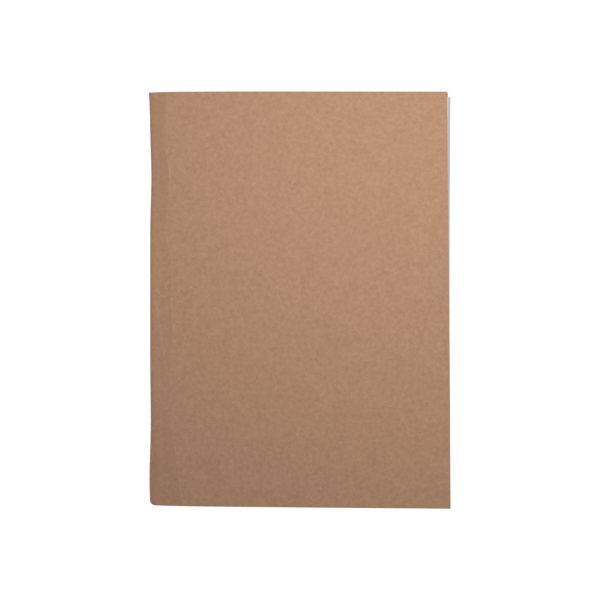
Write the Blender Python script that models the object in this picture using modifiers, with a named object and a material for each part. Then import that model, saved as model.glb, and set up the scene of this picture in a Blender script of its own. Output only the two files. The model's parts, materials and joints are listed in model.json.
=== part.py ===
"""Stapled notepad: a soft kraft cover, folded sheets nested inside it and two wire staples.

It lies closed on its back cover. The spine is at -X, the fore-edge at +X, the head at +Y.
All lengths are in metres. The origin is the middle of the face it lies on.
"""

import math

import bmesh
import bpy
from mathutils import Matrix, Vector

# Cover
COVER_WIDTH = 0.148
COVER_HEIGHT = 0.205
COVER_THICKNESS = 0.0004
FORE_EDGE_LEAN = 0.0012
FOOT_LEAN = 0.0010
HINGE_FROM_SPINE = 0.0090
HINGE_GAP = 0.0003
HINGE_RISE = 0.0002

# Sheets
SHEETS = 16
LEAF_THICKNESS = 0.0001
LEAF_GAP = 0.00003
PAGE_INSET = 0.0027
PAGE_FORE_INSET = 0.0003
PAGE_LEAN = 0.0009
FOLD_STEPS = 12
FOLD_CLEARANCE = 0.0001

# Staples
WIRE_DIAMETER = 0.0005
WIRE_BEND = 0.0004
CROWN_LENGTH = 0.013
CROWN_GAP = 0.00003
CLINCH_LENGTH = 0.005
STAPLE_SPACING = 0.1154
LEG_CLEARANCE = 0.0001

# Sizes that follow from the ones above
LEG_HOLE_RADIUS = WIRE_DIAMETER / 2 + LEG_CLEARANCE
CORE_RADIUS = LEG_HOLE_RADIUS + LEAF_GAP
LEAF_PITCH = LEAF_THICKNESS + LEAF_GAP
LINING_RADIUS = CORE_RADIUS + SHEETS * LEAF_PITCH
SPINE_RADIUS = LINING_RADIUS + COVER_THICKNESS
DRUM_RADIUS = SPINE_RADIUS + CROWN_GAP + WIRE_DIAMETER + FOLD_CLEARANCE
AXIS = Vector((-COVER_WIDTH / 2 + WIRE_DIAMETER + CROWN_GAP + SPINE_RADIUS, 0, SPINE_RADIUS))
COVER_TOP = 2 * SPINE_RADIUS
HINGE = Vector((-COVER_WIDTH / 2 + HINGE_FROM_SPINE, 0, COVER_TOP + HINGE_RISE))


def collection(name):
    """A new collection linked to the scene."""
    group = bpy.data.collections.new(name)
    bpy.context.scene.collection.children.link(group)
    return group


def material(name, colour, roughness, metallic=0.0):
    """A plain Principled material."""
    made = bpy.data.materials.new(name)
    made.use_nodes = True
    shader = made.node_tree.nodes["Principled BSDF"]
    shader.inputs["Base Color"].default_value = (*colour, 1)
    shader.inputs["Roughness"].default_value = roughness
    shader.inputs["Metallic"].default_value = metallic
    made.diffuse_color = (*colour, 1)
    return made


def add(name, data, look, origin):
    """A part of the notepad with its origin where it turns."""
    part = bpy.data.objects.new(name, data)
    part.location = origin
    data.materials.append(look)
    notepad.objects.link(part)
    return part


def ribbon(name, foot, head, thickness, look, origin):
    """A sheet between two lines of points, thickened on the side away from the fold's axis."""
    mesh = bpy.data.meshes.new(name)
    build = bmesh.new()
    low = [build.verts.new(point - origin) for point in foot]
    high = [build.verts.new(point - origin) for point in head]
    for i in range(len(low) - 1):
        build.faces.new((low[i], low[i + 1], high[i + 1], high[i]))
    build.to_mesh(mesh)
    build.free()
    part = add(name, mesh, look, origin)
    thick = part.modifiers.new("thickness", "SOLIDIFY")
    thick.thickness = thickness
    thick.offset = 1
    thick.use_even_offset = True
    return part


def pierce(part):
    """Cut the holes for the staple legs."""
    holes = part.modifiers.new("leg_holes", "BOOLEAN")
    holes.operation = "DIFFERENCE"
    holes.operand_type = "COLLECTION"
    holes.collection = cutters
    holes.solver = "EXACT"


def leg_cutter(name, centre_y):
    """A rod through the fold where a staple leg goes."""
    reach = DRUM_RADIUS
    mesh = bpy.data.meshes.new(name)
    build = bmesh.new()
    turn = Matrix.Rotation(math.pi / 2, 4, "Y")
    bmesh.ops.create_cone(
        build,
        cap_ends=True,
        segments=12,
        radius1=LEG_HOLE_RADIUS,
        radius2=LEG_HOLE_RADIUS,
        depth=reach,
        matrix=turn,
    )
    build.to_mesh(mesh)
    build.free()
    rod = bpy.data.objects.new(name, mesh)
    rod.location = AXIS + Vector((-reach / 2, centre_y, 0))
    rod.hide_render = True
    rod.display_type = "WIRE"
    cutters.objects.link(rod)


def fold_line(radius, reach):
    """Points in X and Z round the fold, from the lower straight end to the upper one."""
    points = [Vector((reach, 0, -radius))]
    for i in range(FOLD_STEPS + 1):
        angle = -math.pi / 2 - math.pi * i / FOLD_STEPS
        points.append(Vector((radius * math.cos(angle), 0, radius * math.sin(angle))))
    points.append(Vector((reach, 0, radius)))
    return [AXIS + point for point in points]


def fold_reach(outer_radius):
    """How far a fold runs past its axis and still stays inside the drum that the leaves turn round."""
    return math.sqrt(DRUM_RADIUS**2 - outer_radius**2) - FOLD_CLEARANCE


def leaf_start(inner_radius):
    """Where a leaf starts so that it stays outside that drum."""
    return AXIS.x + math.sqrt(DRUM_RADIUS**2 - inner_radius**2)


def foot_edge(x):
    """Y of the cover's lower edge, which isn't quite square to the spine."""
    return -COVER_HEIGHT / 2 + FOOT_LEAN * (COVER_WIDTH / 2 - x) / COVER_WIDTH


def at_foot(point):
    return Vector((point.x, foot_edge(point.x), point.z))


def at_head(point):
    return Vector((point.x, COVER_HEIGHT / 2, point.z))


def wire_path(corners, bend):
    """The corners of a bent wire, each rounded."""
    points = [corners[0]]
    for before, corner, after in zip(corners, corners[1:], corners[2:]):
        back = (before - corner).normalized()
        on = (after - corner).normalized()
        middle = corner + (back + on) * bend
        for i in range(7):
            angle = math.pi / 2 * i / 6
            points.append(middle - on * bend * math.cos(angle) - back * bend * math.sin(angle))
    points.append(corners[-1])
    return points


def staple(name, centre_y):
    """A round wire: the crown lies along the spine, the legs go through the fold and close inside it."""
    crown_x = -SPINE_RADIUS - CROWN_GAP - WIRE_DIAMETER / 2
    half = CROWN_LENGTH / 2
    corners = [
        Vector((0, CLINCH_LENGTH - half, 0)),
        Vector((0, -half, 0)),
        Vector((crown_x, -half, 0)),
        Vector((crown_x, half, 0)),
        Vector((0, half, 0)),
        Vector((0, half - CLINCH_LENGTH, 0)),
    ]
    points = wire_path(corners, WIRE_BEND)
    curve = bpy.data.curves.new(name, "CURVE")
    curve.dimensions = "3D"
    curve.bevel_depth = WIRE_DIAMETER / 2
    curve.bevel_resolution = 2
    curve.use_fill_caps = True
    line = curve.splines.new("POLY")
    line.points.add(len(points) - 1)
    for slot, point in zip(line.points, points):
        slot.co = (*point, 1)
    return add(name, curve, steel, AXIS + Vector((0, centre_y, 0)))


for old in list(bpy.data.objects):
    bpy.data.objects.remove(old, do_unlink=True)

notepad = collection("notepad")
cutters = collection("cutters")

kraft = material("kraft_card", (0.42, 0.25, 0.16), 0.85)
paper = material("white_paper", (0.86, 0.86, 0.84), 0.9)
steel = material("staple_wire", (0.62, 0.62, 0.62), 0.35, 1.0)

# Holes for the four staple legs
for side in (-1, 1):
    for leg in (-1, 1):
        leg_cutter(f"leg_hole_{side}_{leg}", side * STAPLE_SPACING / 2 + leg * CROWN_LENGTH / 2)

# Back cover with the rounded spine, in one piece of card
spine = fold_line(LINING_RADIUS, fold_reach(SPINE_RADIUS))
lining_bottom = AXIS.z - LINING_RADIUS
fore_foot = Vector((COVER_WIDTH / 2, 0, lining_bottom))
fore_head = Vector((COVER_WIDTH / 2 - FORE_EDGE_LEAN, 0, lining_bottom))
back_foot = [at_foot(point) for point in [fore_foot] + spine[1:]]
back_head = [at_head(point) for point in [fore_head] + spine[1:]]
back = ribbon("back_cover", back_foot, back_head, COVER_THICKNESS, kraft, AXIS)
pierce(back)

# Front of the cover: the strip beside the spine, then the panel beyond the crease
lining_top = AXIS.z + LINING_RADIUS
strip_ends = (leaf_start(LINING_RADIUS), HINGE.x - HINGE_GAP / 2)
strip_foot = [at_foot(Vector((x, 0, lining_top))) for x in strip_ends]
strip_head = [at_head(Vector((x, 0, lining_top))) for x in strip_ends]
ribbon("cover_hinge_strip", strip_foot, strip_head, COVER_THICKNESS, kraft, AXIS)

panel_start = Vector((HINGE.x + HINGE_GAP / 2, 0, lining_top))
panel_foot = [at_foot(panel_start), at_foot(Vector((fore_foot.x, 0, lining_top)))]
panel_head = [at_head(panel_start), at_head(Vector((fore_head.x, 0, lining_top)))]
ribbon("front_cover", panel_foot, panel_head, COVER_THICKNESS, kraft, HINGE)

# Sheets, from the outermost to the innermost: a front leaf, the fold and a back leaf each
page_head = COVER_HEIGHT / 2 - PAGE_INSET
page_foot = -COVER_HEIGHT / 2 + PAGE_INSET
page_fore_head = COVER_WIDTH / 2 - PAGE_FORE_INSET
page_fore_foot = page_fore_head - PAGE_LEAN
for number in range(1, SHEETS + 1):
    radius = CORE_RADIUS + (SHEETS - number) * LEAF_PITCH
    start = leaf_start(radius)

    line = fold_line(radius, fold_reach(radius + LEAF_THICKNESS))
    fold_foot = [Vector((point.x, page_foot, point.z)) for point in line]
    fold_head = [Vector((point.x, page_head, point.z)) for point in line]
    fold = ribbon(f"sheet_fold_{number:02d}", fold_foot, fold_head, LEAF_THICKNESS, paper, AXIS)
    pierce(fold)

    top = AXIS.z + radius
    front_foot = [Vector((start, page_foot, top)), Vector((page_fore_foot, page_foot, top))]
    front_head = [Vector((start, page_head, top)), Vector((page_fore_head, page_head, top))]
    ribbon(f"leaf_{number:02d}", front_foot, front_head, LEAF_THICKNESS, paper, AXIS)

    low = AXIS.z - radius
    under_foot = [Vector((page_fore_foot, page_foot, low)), Vector((start, page_foot, low))]
    under_head = [Vector((page_fore_head, page_head, low)), Vector((start, page_head, low))]
    under = 2 * SHEETS + 1 - number
    ribbon(f"leaf_{under:02d}", under_foot, under_head, LEAF_THICKNESS, paper, AXIS)

# Staples
staple("upper_staple", STAPLE_SPACING / 2)
staple("lower_staple", -STAPLE_SPACING / 2)
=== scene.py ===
"""Looks of the notepad: kraft card cover, white sheets, two steel staples, floor, light and camera.

X runs from the spine to the fore-edge, Y from the foot to the head, Z up from the table.
Lengths are in millimetres, in the frame of the CAD model, and MM turns them into metres.
"""

import json
import math

import bmesh
import bpy
import numpy as np
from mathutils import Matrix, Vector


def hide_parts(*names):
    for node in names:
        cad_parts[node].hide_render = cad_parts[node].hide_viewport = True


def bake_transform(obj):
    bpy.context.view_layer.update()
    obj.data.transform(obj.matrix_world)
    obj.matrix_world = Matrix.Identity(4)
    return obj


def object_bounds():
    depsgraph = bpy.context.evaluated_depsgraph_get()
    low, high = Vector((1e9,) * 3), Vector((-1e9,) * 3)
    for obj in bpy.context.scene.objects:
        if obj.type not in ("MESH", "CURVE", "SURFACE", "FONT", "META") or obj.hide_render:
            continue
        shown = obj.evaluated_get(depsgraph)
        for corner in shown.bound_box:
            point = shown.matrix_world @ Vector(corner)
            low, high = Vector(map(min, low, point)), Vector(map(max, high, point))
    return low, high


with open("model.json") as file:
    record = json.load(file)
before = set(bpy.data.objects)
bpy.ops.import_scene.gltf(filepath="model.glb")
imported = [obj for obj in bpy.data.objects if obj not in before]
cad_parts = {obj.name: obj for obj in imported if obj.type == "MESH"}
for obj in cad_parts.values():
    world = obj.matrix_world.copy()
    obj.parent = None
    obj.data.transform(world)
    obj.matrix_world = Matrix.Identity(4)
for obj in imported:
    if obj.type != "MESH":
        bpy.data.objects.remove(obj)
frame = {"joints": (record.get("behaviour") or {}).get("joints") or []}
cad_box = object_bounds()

MM = 0.001

# Sizes of the solids
joint_place = {joint["name"]: joint["pos_m"] for joint in frame["joints"]}
AXIS_X = joint_place["centre_opening"][0] / MM
AXIS_Z = joint_place["centre_opening"][2] / MM
HINGE_X = joint_place["front_cover_opening"][0] / MM
HALF_WIDTH, HALF_HEIGHT, TOP = (round(length / MM, 3) for length in cad_box[1])
CARD = 0.4
SPINE_RADIUS = TOP / 2
LINING_RADIUS = SPINE_RADIUS - CARD
SHEETS = 16
CORE_RADIUS = 0.38
LEAF = 0.1
LEAF_PITCH = 0.13
WIRE_RADIUS = 0.25
WIRE_BEND = 0.4
CROWN_HALF = 6.5
CROWN_GAP = 0.03
CLINCH = 5.0
STAPLE_Y = 57.7
STAPLE_PLACES = (-STAPLE_Y, STAPLE_Y)

# How much deeper the crowns of the staples lie in the card than in the solids, and the groove they press
STAPLE_PRESS = 0.34
GROOVE_FULL = CROWN_HALF + 0.1
GROOVE_END = CROWN_HALF + 0.7
GROOVE_HALF = 0.75
GROOVE_GAP = 0.02

# Foot and head of the cover: they lean, the foot is bowed, and both are drawn in beside the spine
DRAWN_IN_X = -74.5
FOOT_AT_FORE = -102.645
FOOT_LEAN = 1.2
FOOT_BOW = 0.2
FOOT_BOW_X = -8
FOOT_BOW_RUN = 78
FOOT_DRAWN_IN = 0.38
FOOT_DRAWN_RUN = 9
HEAD_AT_SPINE = 102.447
HEAD_LEAN = 0.123
HEAD_DRAWN_IN = 0.53
HEAD_DRAWN_RUN = 15

# Outermost line of the spine: dents at the staples, a swelling above the foot, a flared head, a blunt foot
SPINE_X = -74.13
SPINE_BELLS = ((0.57, 60.2, 16), (0.23, -57, 17), (-0.38, -88, 12))
SPINE_FLARE = 0.76
SPINE_FLARE_RUN = 8
BLUNT_RADIUS = 2.3
BLUNT_X = -72.0

# Fore-edge of the front cover: share of the height from foot to head, and X there
FORE_EDGE = ((0, 73.53), (0.3, 73.35), (0.4, 73.24), (0.6, 72.66), (1, 72.01))
FORE_ROUNDING = 0.03

# How far the fore-edge of the back cover leans towards the spine, from foot to head
BACK_FORE_LEAN = 1.2

# The crease beside the spine wanders as a hand-bent one does: Y and X of its turns, from foot to head
CREASE = (
    (-101, -58.0), (-83.6, -60.2), (-64, -63.4), (-49, -64.0), (-32, -63.9), (-22, -62.9), (-12, -62.7),
    (-5, -63.4), (20.5, -63.2), (24.5, -64.2), (29.4, -66.1), (34.3, -66.5), (49, -64.6), (67, -64.5),
    (70, -65.9), (102, -66.0),
)
CREASE_ROUNDING = 1.0
CREASE_TREMBLE = 0.08
TREMBLE_PACE = 0.83
TREMBLE_START = 1.0
CREASE_SOFTNESS = 0.12
CREASE_RIDGE = 0.02
CREASE_RIDGE_WIDTH = 0.3

# How steeply the cover falls beside the crease, towards the spine, and over which length
SLOPE_RUN = 4.8
SLOPE = 0.046
SLOPE_BELLS = ((0.014, -60, 25),)
SLOPE_STEPS = ((0.05, 5, 60),)

# Short crinkles beside the spine, each from one point to another, with its half width, height and wear
CRINKLES = (
    ((-70.9, 5.2), (-68.7, 2.2), 0.36, 0.08, 2.4),
    ((-68.7, 2.2), (-65.8, 1.7), 0.38, 0.07, 1.3),
    ((-64.2, 0.4), (-58.6, -1.2), 0.4, 0.04, 0.8),
    ((-71.0, -0.5), (-68.2, -21.0), 0.45, 0.05, 0.7),
    ((-68.2, -21.0), (-66.2, -32.0), 0.5, 0.04, 0.6),
)
CRINKLE_FADE_OUT = 1.0
CRINKLE_FADE_IN = 1.5

# Shallow waves of the front cover: depth, pace along X, pace along Y and start
WAVES = ((0.06, 0.043, 0.031, 0.6), (0.04, -0.028, 0.067, 2.1))
WAVES_RUN = 30

# The free corner at the foot of the fore-edge stands up, beyond LIFT_X and below LIFT_Y
CORNER_LIFT = 2.4
LIFT_X = -40
LIFT_Y = 20

# Where handling has rubbed the crease pale, and how strong the painted shade on the strip beside the spine
# is
WEAR = 0.18
WEAR_BELLS = ((0.75, -92, 14), (0.7, -3, 17), (0.85, 60, 8))
WEAR_WIDTH = 0.28
CRINKLE_WEAR_SHARE = 0.8
TONE = 0.25
TONE_BELLS = ((0.38, -80, 14), (0.2, -16, 13))
TONE_STEPS = ((0.4, 26, 38), (0.27, 40, 76))

# Width over which the strip's painted shade fades in beside the crease, and where in it the shade starts and
# is full
TONE_FADE = 0.4
TONE_FADE_BELLS = ((3, 79, 10),)
TONE_BORDER = (-0.1, 1)

# How wide the painted shade reaches in from the cut edges and over the shoulder of the spine, and how strong
# it is on the shoulder
RIM = 0.1
FOOT_SHADE_WIDTH = 0.7
RIM_SHADE_WIDTH = 0.2
SHOULDER_SHADE_WIDTH = 1.1
SHOULDER = 0.9
SHOULDER_STEPS = ((-0.36, -75, -25), (-0.36, 20, 60))

# How far below the top the pale wear, the strip's painted shade and the shoulder's painted shade reach on
# the fold
WEAR_DEPTH = 1.5
TONE_DEPTH = 1.0
SHOULDER_DEPTH = 1.2

# Fold of the cover: its section is a rounded box, squarer above than below
FOLD_X = AXIS_X + 0.4
FOLD_GAP = 0.5
FOLD_STEPS = 40
SQUARENESS = 2.5
UPPER_SQUARENESS_STEPS = ((0.9, -75, -25),)
NEAR_SPINE_X = -73.0

# The seam between the two pieces of the cover. Their normals are taken from one more line beyond it.
SEAM_X = HINGE_X - 3.4
SEAM_OVERRUN = 0.3

# Places of the cover's points
ROWS = 112
LEAST_ROW_STEP = 0.15
EDGE_STEPS = (0.2, 0.5, 0.8, 1.2, 1.7, 2.3, 3.0)
STAPLE_ROWS = np.arange(-8.4, 8.5, 0.6)
CRINKLE_ROWS = np.arange(-2.4, 6.5, 0.4)
RIM_STEPS = (0, 0.2, 0.5, 0.8, 1.3)
BESIDE_CREASE = (-0.5, -0.3, -0.18, -0.08, 0, 0.08, 0.18, 0.3, 0.5)
NEAR_END_X = -53.0
STRIP_COLUMNS = 28
NEAR_COLUMNS = 44
FAR_COLUMNS = 37
TOP_COLUMNS = 7
BACK_RUN = np.concatenate([RIM_STEPS, np.linspace(4, 144, 37)])

# Pages: the top page is seen in the photograph, the others are cut a little unevenly
PAGE_HEAD = 99.6
PAGE_FORE_HEAD = 73.55
PAGE_LEAN = 0.9
TOP_PAGE_FORE = 73.2
TOP_PAGE_FLARE = 0.45
TOP_PAGE_FLARE_RUN = 26
# Width of the painted shade along the top page's fore-edge
TOP_PAGE_BORDER = 2.7
FORE_UNEVEN = 0.16
FORE_ASKEW = 0.10
END_UNEVEN = 0.14
FORE_SEED = 7
END_SEED = 11
PAGE_LIFT = 1.5

# Sheets: a fold in close layers, then leaves that lie looser, evenly spread over the block
SHEET_FOLD_STEPS = 16
LOOSE_LEAF = 0.135
LOOSENING = (3, 25)
SPREADING = (1, 12)
FOLD_SLACK = 0.5
CROWN_REACH = (9, 16)
PAGE_ROWS = 15
BESIDE_FOLD = (1.5, 3, 5, 8, 12, 17, 23, 30)
BESIDE_FORE = (137.9, 138.5, 139.2, 140)
LEAF_RUN = np.concatenate([BESIDE_FOLD, np.linspace(42, 136, 7), BESIDE_FORE])

# How far apart the sheets lie on the flat pattern of the paper, so that no two look alike
FLAT_SHEETS_APART = 300

# Wire of the staples
CLINCH_END_X = 0.03
CLINCH_END_Z = 0.02
WIRE_BEND_STEPS = 8
WIRE_ROUNDNESS = 5

# Angles in degrees above which an edge is shaded sharp
SHEET_SHARP = 40
WIRE_SHARP = 50


def ease(value, low, high):
    """0 at low, 1 at high, with soft ends."""
    t = np.clip((np.asarray(value, float) - low) / (high - low), 0, 1)
    return t * t * (3 - 2 * t)


def bell(value, centre, width):
    """1 at the centre, falling off over width on both sides."""
    return np.exp(-(((np.asarray(value, float) - centre) / width) ** 2))


def profile(y, base, bells=(), steps=()):
    """A value along Y: base, plus bells of (height, centre, width) and steps of (height, start, end)."""
    value = base
    for height, centre, width in bells:
        value = value + height * bell(y, centre, width)
    for height, start, end in steps:
        value = value + height * ease(y, start, end)
    return value


def rounded(place, turns, rounding):
    """A line through turns of (place, value), with its corners rounded off."""
    places, values = zip(*turns)
    shifts = rounding * np.array([-2, -1, 0, 1, 2])
    return np.mean([np.interp(place + shift, places, values) for shift in shifts], axis=0)


# Outline of the cover
def drawn_in(x, depth, run):
    """How far a cut edge is drawn in: by depth at the spine, fading over run."""
    return depth * np.exp(-np.clip(x - DRAWN_IN_X, 0, None) / run)


def foot_edge(x):
    """Y of the cover's lower edge."""
    leaning = FOOT_LEAN * (HALF_WIDTH - x) / (2 * HALF_WIDTH)
    bowed = FOOT_BOW * ((x - FOOT_BOW_X) / FOOT_BOW_RUN) ** 2
    return FOOT_AT_FORE + leaning + bowed + drawn_in(x, FOOT_DRAWN_IN, FOOT_DRAWN_RUN)


def head_edge(x):
    """Y of the cover's upper edge."""
    leaning = HEAD_LEAN * (x + HALF_WIDTH) / (2 * HALF_WIDTH)
    return HEAD_AT_SPINE - leaning - drawn_in(x, HEAD_DRAWN_IN, HEAD_DRAWN_RUN)


def spine_edge(y):
    """X of the fold's outermost line."""
    flared = SPINE_FLARE * np.exp(-(HALF_HEIGHT - y) / SPINE_FLARE_RUN)
    short = np.clip(BLUNT_RADIUS - (y - foot_edge(BLUNT_X)), 0, BLUNT_RADIUS)
    blunted = BLUNT_RADIUS - np.sqrt(BLUNT_RADIUS**2 - short**2)
    return profile(y, SPINE_X, SPINE_BELLS) - flared + blunted


def beside_staples(y, full, none):
    """1 up to the distance full from the middle of a staple, 0 from the distance none on."""
    return sum(1 - ease(np.abs(y - place), full, none) for place in STAPLE_PLACES)


def crown_groove(y, z):
    """1 where a staple's crown is pressed into the card, 0 away from it."""
    across = 1 - ease(np.abs(z - AXIS_Z), WIRE_RADIUS, GROOVE_HALF)
    return beside_staples(y, GROOVE_FULL, GROOVE_END) * across


# Form of the front cover
def crease_x(y):
    """X of the crease."""
    y = np.asarray(y, float)
    tremble = CREASE_TREMBLE * np.sin(y * TREMBLE_PACE + TREMBLE_START)
    return rounded(y, CREASE, CREASE_ROUNDING) + tremble


def ridge(x, y, start, end, width):
    """1 along a soft line from start to end, fading at its ends."""
    start_x, start_y = start
    end_x, end_y = end
    length = math.hypot(end_x - start_x, end_y - start_y)
    way_x, way_y = (end_x - start_x) / length, (end_y - start_y) / length
    along = (x - start_x) * way_x + (y - start_y) * way_y
    across = (x - start_x) * way_y - (y - start_y) * way_x
    begun = ease(along, -CRINKLE_FADE_OUT, CRINKLE_FADE_IN)
    ended = ease(along, length - CRINKLE_FADE_IN, length + CRINKLE_FADE_OUT)
    return bell(across, 0, width) * begun * (1 - ended)


def cover_rest_height(x, y):
    """Z of the front cover's outside, without the lifted corner."""
    drop = crease_x(y) - x
    fall = CREASE_SOFTNESS * np.logaddexp(0, np.minimum(drop, SLOPE_RUN) / CREASE_SOFTNESS)
    z = TOP - profile(y, SLOPE, SLOPE_BELLS, SLOPE_STEPS) * fall
    z = z + CREASE_RIDGE * bell(drop, 0, CREASE_RIDGE_WIDTH)
    for start, end, width, height, _ in CRINKLES:
        z = z + height * ridge(x, y, start, end, width)
    beyond = ease(x, AXIS_X, AXIS_X + WAVES_RUN)
    for depth, pace_x, pace_y, begin in WAVES:
        z = z - depth * beyond * (1 + np.sin(x * pace_x + y * pace_y + begin)) / 2
    return z


def corner_lift(x, y):
    """How much the free corner lifts a point: 1 at the corner itself."""
    outwards = np.clip((x - LIFT_X) / (HALF_WIDTH - LIFT_X), 0, None)
    downwards = np.clip((LIFT_Y - y) / (LIFT_Y + HALF_HEIGHT), 0, None)
    return outwards**2 * downwards**2


# Pale wear of handling, and painted shade along the cut edges and on the strip beside the spine
def edge_mark(distance, width):
    """1 right at a cut edge, fading inwards."""
    return 1 - ease(distance, RIM, width)


def edge_painted_shade(x, y, fore):
    """Painted shade along the cover's cut edges: most at the foot, only at the rim elsewhere."""
    at_foot = edge_mark(y - foot_edge(x), FOOT_SHADE_WIDTH)
    elsewhere = edge_mark(np.minimum(head_edge(x) - y, fore - x), RIM_SHADE_WIDTH)
    return np.maximum(at_foot, elsewhere)


def wear_mark(x, y):
    """Where the crease and the crinkles have rubbed the card pale."""
    mark = profile(y, WEAR, WEAR_BELLS) * bell(x, crease_x(y), WEAR_WIDTH)
    for start, end, width, _, wear in CRINKLES:
        mark = np.maximum(mark, wear * ridge(x, y, start, end, CRINKLE_WEAR_SHARE * width))
    return mark


def strip_painted_shade(y):
    """Painted shade on the strip between spine and crease: how much darker it is, most towards the head."""
    return profile(y, TONE, TONE_BELLS, TONE_STEPS)


# Meshes
def add(name, data):
    """A new object in the scene."""
    made = bpy.data.objects.new(name, data)
    bpy.context.scene.collection.objects.link(made)
    return made


def shade_smooth(mesh, sharp):
    """Smooth shading, apart from edges above an angle in degrees."""
    mesh.polygons.foreach_set("use_smooth", np.ones(len(mesh.polygons), bool))
    mesh.set_sharp_from_angle(angle=math.radians(sharp))


def normals(points):
    """Unit normals of a grid of points, on the side of (first direction) x (second direction)."""
    n = np.cross(np.gradient(points, axis=0), np.gradient(points, axis=1))
    return n / np.linalg.norm(n, axis=2, keepdims=True)


def run_along(line):
    """Length along a line of points, from its first one."""
    steps = np.linalg.norm(np.diff(line, axis=0), axis=1)
    return np.concatenate([[0], np.cumsum(steps)])


def shell_faces(lines, line_points):
    """Faces of a closed sheet: its outer grid of points, its inner grid and the rim between them."""
    count = lines * line_points
    index = np.arange(count).reshape(lines, line_points)
    a, b = index[:-1, :-1].ravel(), index[1:, :-1].ravel()
    c, d = index[1:, 1:].ravel(), index[:-1, 1:].ravel()
    faces = np.stack([a, b, c, d], 1).tolist()
    faces += (np.stack([d, c, b, a], 1) + count).tolist()
    rim = np.concatenate([index[:, 0], index[-1, 1:], index[-2::-1, -1], index[0, -2:0:-1]])
    after = np.roll(rim, -1)
    faces += np.stack([after, rim, rim + count, after + count], 1).tolist()
    return faces


def shell(name, outer, inner, flat, marks):
    """A closed sheet between two grids of points. flat is each point's place on the sheet when laid flat."""
    mesh = bpy.data.meshes.new(name)
    points = np.concatenate([outer.reshape(-1, 3), inner.reshape(-1, 3)]) * MM
    mesh.from_pydata(points.tolist(), [], shell_faces(*outer.shape[:2]))
    build = bmesh.new()
    build.from_mesh(mesh)
    bmesh.ops.recalc_face_normals(build, faces=build.faces)
    build.to_mesh(mesh)
    build.free()
    place = np.concatenate([flat.reshape(-1, 2), flat.reshape(-1, 2)]) * MM
    layer = mesh.uv_layers.new(name="laid_flat")
    corners = np.empty(len(mesh.loops), np.int32)
    mesh.loops.foreach_get("vertex_index", corners)
    layer.data.foreach_set("uv", place[corners].astype(np.float32).ravel())
    for label, grid in marks.items():
        store = mesh.attributes.new(label, "FLOAT", "POINT")
        both = np.concatenate([grid.ravel(), grid.ravel()]).astype(np.float32)
        store.data.foreach_set("value", both)
    shade_smooth(mesh, SHEET_SHARP)
    return add(name, mesh)


def card_shell(name, points, flat_x, marks, kept):
    """A piece of the cover under a grid of points. kept leaves out the line beyond the seam."""
    inner = points - CARD * normals(points)
    flat = np.stack([np.broadcast_to(flat_x, points.shape[:2]), points[:, :, 1]], 2)
    kept_marks = {label: grid[kept] for label, grid in marks.items()}
    return shell(name, points[kept], inner[kept], flat[kept], kept_marks)


# Cover
def thinned(values, least):
    """Sorted values with those dropped that come closer than least to the one before."""
    kept = []
    for value in sorted(values):
        if not kept or value - kept[-1] >= least:
            kept.append(value)
    return np.array(kept)


def cover_rows():
    """Rows of points from foot to head, closer at the edges, round the staples and at the crinkles."""
    places = list(np.linspace(-HALF_HEIGHT, HALF_HEIGHT, ROWS))
    places += [-HALF_HEIGHT + step for step in EDGE_STEPS] + [HALF_HEIGHT - step for step in EDGE_STEPS]
    for staple_place in STAPLE_PLACES:
        places += list(staple_place + STAPLE_ROWS)
    places += list(CRINKLE_ROWS)
    inside = [place for place in places if abs(place) < HALF_HEIGHT - LEAST_ROW_STEP]
    return np.concatenate([[-HALF_HEIGHT], thinned(inside, LEAST_ROW_STEP), [HALF_HEIGHT]])


rows = cover_rows()
row_share = (rows + HALF_HEIGHT) / (2 * HALF_HEIGHT)


def rows_at(x):
    """Y of the rows of points at X, between the cover's foot and head."""
    return foot_edge(x) + row_share * (head_edge(x) - foot_edge(x))


def spread(start, end, count):
    """Columns of points from one line to another, in count even steps."""
    return [start + share * (end - start) for share in np.linspace(0, 1, count + 1)]


def cover_front():
    """The front of the cover, from the seam beside the spine to the fore-edge."""
    fore = rounded(row_share, FORE_EDGE, FORE_ROUNDING)
    rough_y = -HALF_HEIGHT + FOOT_LEAN + row_share * (2 * HALF_HEIGHT - FOOT_LEAN)
    crease = crease_x(rough_y)
    columns = [np.full_like(rows, SEAM_X - SEAM_OVERRUN)]
    columns += spread(SEAM_X, crease + BESIDE_CREASE[0], STRIP_COLUMNS)[:-1]
    columns += [crease + step for step in BESIDE_CREASE]
    columns += spread(crease + BESIDE_CREASE[-1], NEAR_END_X, NEAR_COLUMNS)[1:]
    columns += spread(NEAR_END_X, fore - RIM_STEPS[-1], FAR_COLUMNS)[1:]
    columns += [fore - step for step in reversed(RIM_STEPS[:-1])]
    x = np.stack(columns)
    y = rows_at(x)
    z = cover_rest_height(x, y) + CORNER_LIFT * corner_lift(x, y)
    fading = profile(y, TONE_FADE, TONE_FADE_BELLS)
    # The edge and strip marks are painted shade; the crease mark is pale wear
    marks = {
        "edge": edge_painted_shade(x, y, fore),
        "crease": wear_mark(x, y),
        "strip": strip_painted_shade(y) * ease((crease_x(y) - x) / fading, *TONE_BORDER),
    }
    return card_shell("cover_front", np.stack([x, y, z], 2), x, marks, slice(1, None))


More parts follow.
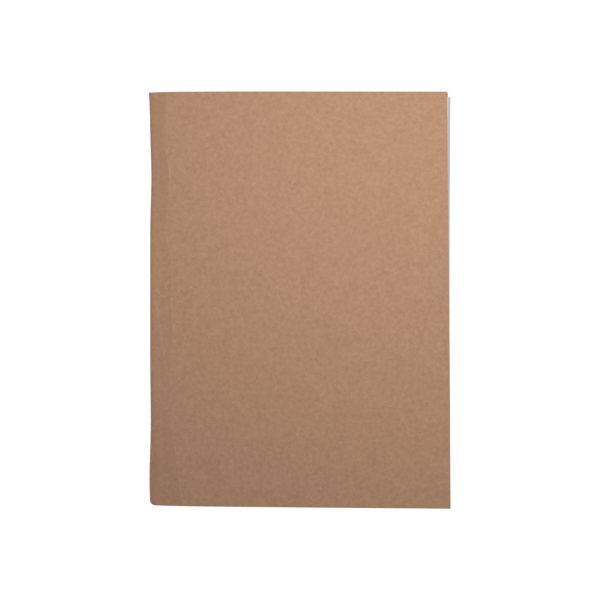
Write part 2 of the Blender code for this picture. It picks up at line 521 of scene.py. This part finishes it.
def cover_fold():
    """X and Z of the cover's fold in each row, from the back round the spine to the front."""
    y = rows_at(NEAR_SPINE_X)
    reach = FOLD_X - spine_edge(y)
    rise = cover_rest_height(FOLD_X, y) - AXIS_Z
    upper_squareness = profile(y, SQUARENESS, steps=UPPER_SQUARENESS_STEPS)
    groove_bed = AXIS_X - SPINE_RADIUS + STAPLE_PRESS + GROOVE_GAP
    path = []
    for step in range(FOLD_STEPS + 1):
        turn = math.pi * (step / FOLD_STEPS - 0.5)
        out, up = math.cos(turn), math.sin(turn)
        height, power = (SPINE_RADIUS, SQUARENESS) if up < 0 else (rise, upper_squareness)
        radius = (abs(out) ** power + abs(up) ** power) ** (-1 / power)
        x = FOLD_X - radius * out * reach
        z = AXIS_Z + radius * up * height * np.ones_like(rows)
        x = x + crown_groove(y, z) * np.clip(groove_bed - x, 0, None)
        path.append((x, z))
    return path


def cover_back():
    """The back of the cover from its fore-edge, the fold and the strip up to the seam."""
    back_fore = HALF_WIDTH - BACK_FORE_LEAN * row_share
    back_length = back_fore - FOLD_X - FOLD_GAP
    path = [(back_fore - along * back_length / BACK_RUN[-1], np.zeros_like(rows)) for along in BACK_RUN]
    path += cover_fold()
    for column_x in (*np.linspace(FOLD_X, SEAM_X, TOP_COLUMNS + 1)[1:], SEAM_X + SEAM_OVERRUN):
        path.append((np.full_like(rows, column_x), cover_rest_height(column_x, rows_at(column_x))))
    x, z = (np.stack(lines) for lines in zip(*path))
    y = rows_at(x)
    points = np.stack([x, y, z], 2)
    run = run_along(points[:, len(rows) // 2])
    flat_x = run - run[-2] + SEAM_X
    # Painted shade on the shoulder of the spine, joined with the painted shade along the edges; the strip
    # mark is painted shade too
    shoulder = profile(y, SHOULDER, steps=SHOULDER_STEPS) * ease(z, AXIS_Z, TOP - SHOULDER_DEPTH)
    shoulder = shoulder * edge_mark(x - spine_edge(y), SHOULDER_SHADE_WIDTH)
    marks = {
        "edge": np.maximum(edge_painted_shade(x, y, back_fore), shoulder),
        "crease": wear_mark(x, y) * (z > TOP - WEAR_DEPTH),
        "strip": strip_painted_shade(y) * ease(z, AXIS_Z, TOP - TONE_DEPTH),
    }
    return card_shell("cover_back_and_spine", points, flat_x[:, None], marks, slice(None, -1))


# Sheets
def pinch(x, y):
    """How far the block is pressed together under the sloping strip of the cover: 1 is not at all."""
    return (cover_rest_height(x, y) - CARD - AXIS_Z) / LINING_RADIUS


page_rows = np.linspace(-PAGE_HEAD, PAGE_HEAD, PAGE_ROWS)
page_share = (page_rows + PAGE_HEAD) / (2 * PAGE_HEAD)
fore_wobble = np.random.default_rng(FORE_SEED)
end_wobble = np.random.default_rng(END_SEED)


def fold_slack():
    """How much wider or narrower than round the folds of the sheets are in each row: 1 is round."""
    crown_near = beside_staples(page_rows, *CROWN_REACH)
    spare = (AXIS_X - spine_edge(page_rows) - CARD) / LINING_RADIUS - 1
    return 1 + FOLD_SLACK * spare * (1 - crown_near) - STAPLE_PRESS / LINING_RADIUS * crown_near


def sheet_radius(number):
    """Radius of a sheet's middle at its fold. Sheet 1 is the outermost."""
    return CORE_RADIUS + (SHEETS - number) * LEAF_PITCH + LEAF / 2


def page_fore(top_page):
    """X of a page's fore-edge in each row."""
    if top_page:
        return TOP_PAGE_FORE + TOP_PAGE_FLARE * np.exp((page_rows - PAGE_HEAD) / TOP_PAGE_FLARE_RUN)
    uneven = fore_wobble.uniform(-FORE_UNEVEN, FORE_UNEVEN)
    askew = fore_wobble.uniform(-FORE_ASKEW, FORE_ASKEW)
    return PAGE_FORE_HEAD - PAGE_LEAN * (1 - page_share) + uneven + askew * (page_share - 0.5)


def sheet_fold(radius):
    """X and Z of a sheet's fold in each row, from the back leaf round to the front leaf."""
    slack = fold_slack()
    path = []
    for step in range(SHEET_FOLD_STEPS + 1):
        turn = math.pi * (step / SHEET_FOLD_STEPS - 0.5)
        rise = radius * math.sin(turn)
        if rise > 0:
            rise = rise * pinch(AXIS_X, page_rows)
        path.append((AXIS_X - radius * math.cos(turn) * slack, AXIS_Z + rise * np.ones_like(page_rows)))
    return path


def leaf(number, upper, fore):
    """X and Z of a leaf in each row, from beside the fold to the fore-edge."""
    radius = sheet_radius(number)
    even = (SHEETS - number + 0.5) * LINING_RADIUS / SHEETS
    lift = PAGE_LIFT * ((SHEETS + 1 - number) / SHEETS) ** 2
    path = []
    for along in LEAF_RUN:
        x = AXIS_X + along * (fore - AXIS_X) / LEAF_RUN[-1]
        height = radius + (even - radius) * ease(along, *SPREADING)
        if upper:
            z = AXIS_Z + height * np.minimum(pinch(x, page_rows), 1) + lift * corner_lift(x, page_rows)
        else:
            z = AXIS_Z - height * np.ones_like(page_rows)
        path.append((x, z))
    return path


def half_sheet(number, side, sheet_rows):
    """One half of a folded sheet. The front half has the fold too."""
    upper = side == "front"
    top_page = upper and number == 1
    radius = sheet_radius(number)
    fore = page_fore(top_page)
    if upper:
        path = sheet_fold(radius)
    else:
        path = [(np.full_like(page_rows, AXIS_X), np.full_like(page_rows, AXIS_Z - radius))]
    path += leaf(number, upper, fore)
    x, z = (np.stack(lines) for lines in zip(*path))
    y = np.broadcast_to(sheet_rows, x.shape)
    points = np.stack([x, y, z], 2)
    thickness = LEAF + (LOOSE_LEAF - LEAF) * ease(x - AXIS_X, *LOOSENING)
    half = normals(points) * thickness[:, :, None] / 2
    run = run_along(points[:, PAGE_ROWS // 2]) + FLAT_SHEETS_APART * number
    flat = np.stack([np.broadcast_to(run[:, None], x.shape), y], 2)
    # Painted shade along the top page's fore-edge
    marks = {"edge": edge_mark(fore - x, TOP_PAGE_BORDER) * top_page}
    return shell(f"sheet_{number:02d}_{side}", points + half, points - half, flat, marks)


def folded_sheet(number):
    """Both halves of a sheet. All but the outermost are cut a little unevenly at foot and head."""
    at_foot, at_head = (0, 0) if number == 1 else end_wobble.uniform(-END_UNEVEN, END_UNEVEN, 2)
    sheet_rows = page_rows + at_foot * (1 - page_share) + at_head * page_share
    return {side: half_sheet(number, side, sheet_rows) for side in ("front", "back")}


# Staples
def wire_line(corners):
    """The corners of a bent wire, each rounded."""
    points = [corners[0]]
    for before, corner, after in zip(corners, corners[1:], corners[2:]):
        back_way = (before - corner) / np.linalg.norm(before - corner)
        on_way = (after - corner) / np.linalg.norm(after - corner)
        centre = corner + (back_way + on_way) * WIRE_BEND
        for angle in np.linspace(0, math.pi / 2, WIRE_BEND_STEPS + 1):
            points.append(centre - (on_way * math.cos(angle) + back_way * math.sin(angle)) * WIRE_BEND)
    points.append(corners[-1])
    return np.array(points)


def staple(name, place):
    """A round wire: the crown lies along the spine, the legs go through the fold and close inside it."""
    crown_x = STAPLE_PRESS - SPINE_RADIUS - CROWN_GAP - WIRE_RADIUS
    corners = (
        (CLINCH_END_X, CLINCH - CROWN_HALF, CLINCH_END_Z),
        (0, -CROWN_HALF, 0),
        (crown_x, -CROWN_HALF, 0),
        (crown_x, CROWN_HALF, 0),
        (0, CROWN_HALF, 0),
        (CLINCH_END_X, CROWN_HALF - CLINCH, CLINCH_END_Z),
    )
    points = (wire_line(np.array(corners)) + (AXIS_X, place, AXIS_Z)) * MM
    curve = bpy.data.curves.new(name, "CURVE")
    curve.dimensions = "3D"
    curve.bevel_depth = WIRE_RADIUS * MM
    curve.bevel_resolution = WIRE_ROUNDNESS
    curve.use_fill_caps = True
    line = curve.splines.new("POLY")
    line.points.add(len(points) - 1)
    for slot, point in zip(line.points, points):
        slot.co = (*point, 1)
    bent = add(name, curve)
    bpy.context.view_layer.update()
    mesh = bpy.data.meshes.new_from_object(bent.evaluated_get(bpy.context.evaluated_depsgraph_get()))
    bpy.data.objects.remove(bent)
    shade_smooth(mesh, WIRE_SHARP)
    return add(name, mesh)


front = cover_front()
back = cover_back()
sheets = {number: folded_sheet(number) for number in range(1, SHEETS + 1)}
upper_wire = staple("upper_staple_wire", STAPLE_Y)
lower_wire = staple("lower_staple_wire", -STAPLE_Y)

# Where most of a noise lies
MOST = (0.3, 0.7)

# Layers of the card's tone: lumps per metre, detail, roughness, range of the noise and depth of the tone
KRAFT_LAYERS = {
    "cloud": (130, 3, 0.5, MOST, 0.03),
    "fleck": (430, 3, 0.5, MOST, 0.06),
    "speck": (1150, 4, 0.62, MOST, 0.05),
    "grain": (7500, 2, 0.6, (0.25, 0.75), 0.11),
}
FULL_TONE = 0.3

# Colours of the card, and how much of each its fibres and marks take; the darker strip and edge colours are
# painted shade
KRAFT = (0.436, 0.246, 0.149)
KRAFT_DARK = (0.327, 0.175, 0.1015)
KRAFT_LIGHT = (0.517, 0.308, 0.196)
DARK_FIBRE = (0.25, 0.135, 0.082)
DARK_FIBRE_SHARE = 0.30
PALE_FIBRE = (0.60, 0.40, 0.29)
PALE_FIBRE_SHARE = 0.26
# Painted shade darkening the strip beside the spine
STRIP_PAINTED_SHADE = (0.36, 0.20, 0.122)
STRIP_PAINTED_SHADE_SHARE = 0.36
WORN = (0.56, 0.365, 0.26)
WORN_SHARE = (0.1, 0.34)
WORN_SPECKS = (0.36, 0.6)
# Painted shade along the cut edges and the shoulder of the spine
EDGE_PAINTED_SHADE = (0.215, 0.150, 0.112)
EDGE_PAINTED_SHADE_SHARE = (0.2, 0.4)

# Fibres in the card: a noise stretched along and across, the range it is cut to, and angle and scale of each
FIBRE_STRETCH = (2.9, 0.38)
FIBRE_CUT = (0.66, 0.76)
DARK_FIBRES = ((0.5, 900), (1.9, 1000))
PALE_FIBRES = ((2.6, 850), (1.15, 950))

# Colours of the paper and the wire
PAPER_DIM = (0.775, 0.758, 0.760)
PAPER_CLEAR = (0.805, 0.788, 0.788)
PAPER_FLECK = (0.67, 0.65, 0.652)
PAPER_FLECK_SHARE = (0.35, 0)
PAPER_FLECK_CUT = (0.30, 0.42)
# Painted shade at the fore-edge border of the top page
PAPER_BORDER_SHADE = (0.31, 0.288, 0.294)
PAPER_BORDER_SHADE_SHARE = 0.85
STEEL_DIM = (0.50, 0.50, 0.51)
STEEL_CLEAR = (0.66, 0.66, 0.66)

# Sockets of the Mix node when it mixes colours
MIX_SHARE, MIX_ONE, MIX_TWO, MIX_RESULT = 0, 6, 7, 2


class Look:
    """A node material, with short calls for the nodes that it is made of."""

    def __init__(self, name):
        self.material = bpy.data.materials.new(name)
        self.material.use_nodes = True
        self.tree = self.material.node_tree
        self.shader = self.tree.nodes["Principled BSDF"]

    def feed(self, socket, value):
        """Gives a socket a number, a colour or the output of another node."""
        if isinstance(value, bpy.types.NodeSocket):
            self.tree.links.new(value, socket)
        elif isinstance(value, tuple):
            socket.default_value = (*value, 1)
        else:
            socket.default_value = value

    def put(self, label, value):
        """Feeds one of the shader's own sockets."""
        self.feed(self.shader.inputs[label], value)

    def flat_place(self):
        """Where a point is on its sheet, laid flat."""
        made = self.tree.nodes.new("ShaderNodeUVMap")
        made.uv_map = "laid_flat"
        return made.outputs["UV"]

    def attribute(self, name):
        """A mark stored with the points of a mesh."""
        made = self.tree.nodes.new("ShaderNodeAttribute")
        made.attribute_name = name
        return made.outputs["Fac"]

    def noise(self, where, scale, detail, rough=0.5, dimensions="2D"):
        """A noise texture. scale is in lumps per metre."""
        made = self.tree.nodes.new("ShaderNodeTexNoise")
        made.noise_dimensions = dimensions
        self.feed(made.inputs["Vector"], where)
        self.feed(made.inputs["Scale"], scale)
        self.feed(made.inputs["Detail"], detail)
        self.feed(made.inputs["Roughness"], rough)
        return made.outputs["Fac"]

    def fibres(self, where, runs):
        """Short strands in two directions. Each run is an angle and a scale."""
        strands = []
        for angle, scale in runs:
            turned = self.tree.nodes.new("ShaderNodeMapping")
            turned.vector_type = "TEXTURE"
            turned.inputs["Scale"].default_value = (*FIBRE_STRETCH, 1)
            turned.inputs["Rotation"].default_value = (0, 0, angle)
            self.feed(turned.inputs["Vector"], where)
            strand = self.noise(turned.outputs["Vector"], scale, detail=1.5)
            strands.append(self.between(strand, FIBRE_CUT, (0, 1)))
        return self.combine("MAXIMUM", *strands)

    def between(self, value, old, new):
        """Maps a value from one range to another, clamped."""
        made = self.tree.nodes.new("ShaderNodeMapRange")
        for label, number in zip(("From Min", "From Max", "To Min", "To Max"), (*old, *new)):
            self.feed(made.inputs[label], number)
        self.feed(made.inputs["Value"], value)
        return made.outputs["Result"]

    def combine(self, operation, one, two):
        """Two values put together by a Math node."""
        made = self.tree.nodes.new("ShaderNodeMath")
        made.operation = operation
        self.feed(made.inputs[0], one)
        self.feed(made.inputs[1], two)
        return made.outputs["Value"]

    def times(self, one, two):
        return self.combine("MULTIPLY", one, two)

    def plus(self, one, two):
        return self.combine("ADD", one, two)

    def mixed(self, share, one, two):
        """Two colours mixed by a value."""
        made = self.tree.nodes.new("ShaderNodeMix")
        made.data_type = "RGBA"
        self.feed(made.inputs[MIX_SHARE], share)
        self.feed(made.inputs[MIX_ONE], one)
        self.feed(made.inputs[MIX_TWO], two)
        return made.outputs[MIX_RESULT]

    def bump(self, height, strength, distance):
        """Fine relief of the surface. distance is in millimetres."""
        made = self.tree.nodes.new("ShaderNodeBump")
        self.feed(made.inputs["Strength"], strength)
        self.feed(made.inputs["Distance"], distance * MM)
        self.feed(made.inputs["Height"], height)
        self.put("Normal", made.outputs["Normal"])


def kraft_material():
    """Brown card with clouds, flecks, specks, grain and fibres, pale wear at the crease, and painted shade
    on the strip, the edges and the shoulder.
    """
    look = Look("kraft_card_fibres")
    where = look.flat_place()
    tone = 0
    layers = {}
    for name, (scale, detail, rough, most, depth) in KRAFT_LAYERS.items():
        layers[name] = look.noise(where, scale, detail, rough)
        tone = look.plus(tone, look.between(layers[name], most, (-depth, depth)))
    speck, grain = layers["speck"], layers["grain"]
    dark_fibres = look.fibres(where, DARK_FIBRES)
    pale_fibres = look.fibres(where, PALE_FIBRES)

    colour = look.mixed(look.between(tone, (-FULL_TONE, 0), (1, 0)), KRAFT, KRAFT_DARK)
    colour = look.mixed(look.between(tone, (0, FULL_TONE), (0, 1)), colour, KRAFT_LIGHT)
    colour = look.mixed(look.times(dark_fibres, DARK_FIBRE_SHARE), colour, DARK_FIBRE)
    colour = look.mixed(look.times(pale_fibres, PALE_FIBRE_SHARE), colour, PALE_FIBRE)
    # Painted shade on the strip beside the spine
    colour = look.mixed(look.times(look.attribute("strip"), STRIP_PAINTED_SHADE_SHARE), colour, STRIP_PAINTED_SHADE)
    worn = look.times(look.attribute("crease"), look.between(speck, WORN_SPECKS, WORN_SHARE))
    colour = look.mixed(worn, colour, WORN)
    # Painted shade along the cut edges and the shoulder
    edge_shade = look.times(look.attribute("edge"), look.between(speck, MOST, EDGE_PAINTED_SHADE_SHARE))
    colour = look.mixed(edge_shade, colour, EDGE_PAINTED_SHADE)
    look.put("Base Color", colour)

    look.put("Roughness", look.between(speck, MOST, (0.78, 0.92)))
    look.put("Specular IOR Level", 0.28)
    look.put("Sheen Weight", 0.06)
    look.put("Sheen Roughness", 0.6)
    relief = look.plus(look.times(grain, 0.5), look.times(speck, 0.8))
    relief = look.plus(relief, look.times(pale_fibres, 0.25))
    relief = look.plus(relief, look.times(dark_fibres, -0.2))
    look.bump(relief, strength=0.35, distance=0.04)
    return look.material


def paper_material():
    """White paper with a faint cloud and a fine tooth, greyer at the border of the top page by painted
    shade.
    """
    look = Look("white_paper_tooth")
    where = look.flat_place()
    cloud = look.noise(where, scale=160, detail=4, rough=0.6)
    tooth = look.noise(where, scale=4200, detail=3, rough=0.6)
    colour = look.mixed(look.between(cloud, MOST, (0, 1)), PAPER_DIM, PAPER_CLEAR)
    colour = look.mixed(look.between(tooth, PAPER_FLECK_CUT, PAPER_FLECK_SHARE), colour, PAPER_FLECK)
    # Painted shade at the border of the top page
    colour = look.mixed(look.times(look.attribute("edge"), PAPER_BORDER_SHADE_SHARE), colour, PAPER_BORDER_SHADE)
    look.put("Base Color", colour)
    look.put("Roughness", look.between(tooth, MOST, (0.8, 0.92)))
    look.put("Specular IOR Level", 0.25)
    look.bump(tooth, strength=0.2, distance=0.03)
    return look.material


def wire_material():
    """Drawn steel, a little uneven in tone and gloss."""
    look = Look("drawn_steel_wire")
    where = look.tree.nodes.new("ShaderNodeTexCoord").outputs["Object"]
    drawn = look.noise(where, scale=2600, detail=3, dimensions="3D")
    look.put("Base Color", look.mixed(look.between(drawn, MOST, (0, 1)), STEEL_DIM, STEEL_CLEAR))
    look.put("Metallic", 1.0)
    look.put("Roughness", look.between(drawn, MOST, (0.26, 0.42)))
    return look.material


kraft = kraft_material()
paper = paper_material()
wire = wire_material()
for piece in (front, back):
    piece.data.materials.append(kraft)
for sides in sheets.values():
    for piece in sides.values():
        piece.data.materials.append(paper)
for piece in (upper_wire, lower_wire):
    piece.data.materials.append(wire)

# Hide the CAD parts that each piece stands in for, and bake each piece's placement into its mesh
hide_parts("front_cover")
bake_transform(front)
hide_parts("back_cover", "cover_hinge_strip")
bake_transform(back)
for number, sides in sheets.items():
    under = 2 * SHEETS + 1 - number
    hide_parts(f"leaf_{number:02d}", f"sheet_fold_{number:02d}")
    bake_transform(sides["front"])
    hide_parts(f"leaf_{under:02d}")
    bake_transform(sides["back"])
for piece, node in ((upper_wire, "upper_staple"), (lower_wire, "lower_staple")):
    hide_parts(node)
    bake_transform(piece)

# Floor, light and camera, in metres
FLOOR_RADIUS = 4
FLOOR_SIDES = 64
FLOOR_Z = -0.00005
FLOOR_COLOUR = (0.92, 0.92, 0.92)
WHITE = (1, 1, 1)
SKY_STRENGTH = 0.22
KEY_PLACE = (0.081, 0.134, 0.335)
KEY_SIZE = 0.2
KEY_POWER = 1.18
CAMERA_PLACE = (-0.00029, -0.0001, 0.9)
SENSOR_WIDTH = 36
FOCAL_LENGTH = 109.22
NEAREST = 0.01
FURTHEST = 20


def seen_apart(tree, lighting, seen, output):
    """Lets the camera see one shader and all other rays meet the other."""
    chooser = tree.nodes.new("ShaderNodeMixShader")
    path = tree.nodes.new("ShaderNodeLightPath")
    tree.links.new(path.outputs["Is Camera Ray"], chooser.inputs["Fac"])
    tree.links.new(lighting, chooser.inputs[1])
    tree.links.new(seen, chooser.inputs[2])
    tree.links.new(chooser.outputs["Shader"], tree.nodes[output].inputs["Surface"])


def floor_material():
    """A pale floor that throws light back on the page edges, and is just white to the camera."""
    look = Look("pale_floor")
    look.put("Base Color", FLOOR_COLOUR)
    look.put("Roughness", 0.9)
    look.put("Specular IOR Level", 0.1)
    look.put("Emission Color", WHITE)
    look.put("Emission Strength", 1.2)
    just_white = look.tree.nodes.new("ShaderNodeEmission")
    look.feed(just_white.inputs["Strength"], 1.1)
    seen_apart(look.tree, look.shader.outputs["BSDF"], just_white.outputs["Emission"], "Material Output")
    return look.material


def floor_disc():
    """The mesh of the floor."""
    mesh = bpy.data.meshes.new("floor")
    build = bmesh.new()
    bmesh.ops.create_circle(build, cap_ends=True, segments=FLOOR_SIDES, radius=FLOOR_RADIUS)
    build.to_mesh(mesh)
    build.free()
    mesh.materials.append(floor_material())
    return mesh


floor = add("floor", floor_disc())
floor.location = (0, 0, FLOOR_Z)

# Light: a dim white sky that the camera sees as white, and a soft lamp aimed at the middle of the notepad
scene = bpy.context.scene
scene.world = bpy.data.worlds.new("studio")
scene.world.use_nodes = True
sky = scene.world.node_tree
dim = sky.nodes["Background"]
dim.inputs["Color"].default_value = (*WHITE, 1)
dim.inputs["Strength"].default_value = SKY_STRENGTH
backdrop = sky.nodes.new("ShaderNodeBackground")
backdrop.inputs["Color"].default_value = (*WHITE, 1)
seen_apart(sky, dim.outputs["Background"], backdrop.outputs["Background"], "World Output")

lamp = bpy.data.lights.new("key", "AREA")
lamp.shape = "DISK"
lamp.size = KEY_SIZE
lamp.energy = KEY_POWER
key_light = add("key", lamp)
key_light.location = KEY_PLACE
key_x, key_y, key_z = KEY_PLACE
key_tilt = math.acos(key_z / math.hypot(key_x, key_y, key_z))
key_light.rotation_euler = (key_tilt, 0, math.atan2(-key_y, -key_x) - math.pi / 2)

# Camera, straight above as in the photograph
lens = bpy.data.cameras.new("camera")
lens.sensor_width = SENSOR_WIDTH
lens.lens = FOCAL_LENGTH
lens.clip_start = NEAREST
lens.clip_end = FURTHEST
camera = add("camera", lens)
camera.location = CAMERA_PLACE
scene.camera = camera
scene.view_settings.view_transform = "Standard"
scene.view_settings.look = "None"

bpy.context.view_layer.update()
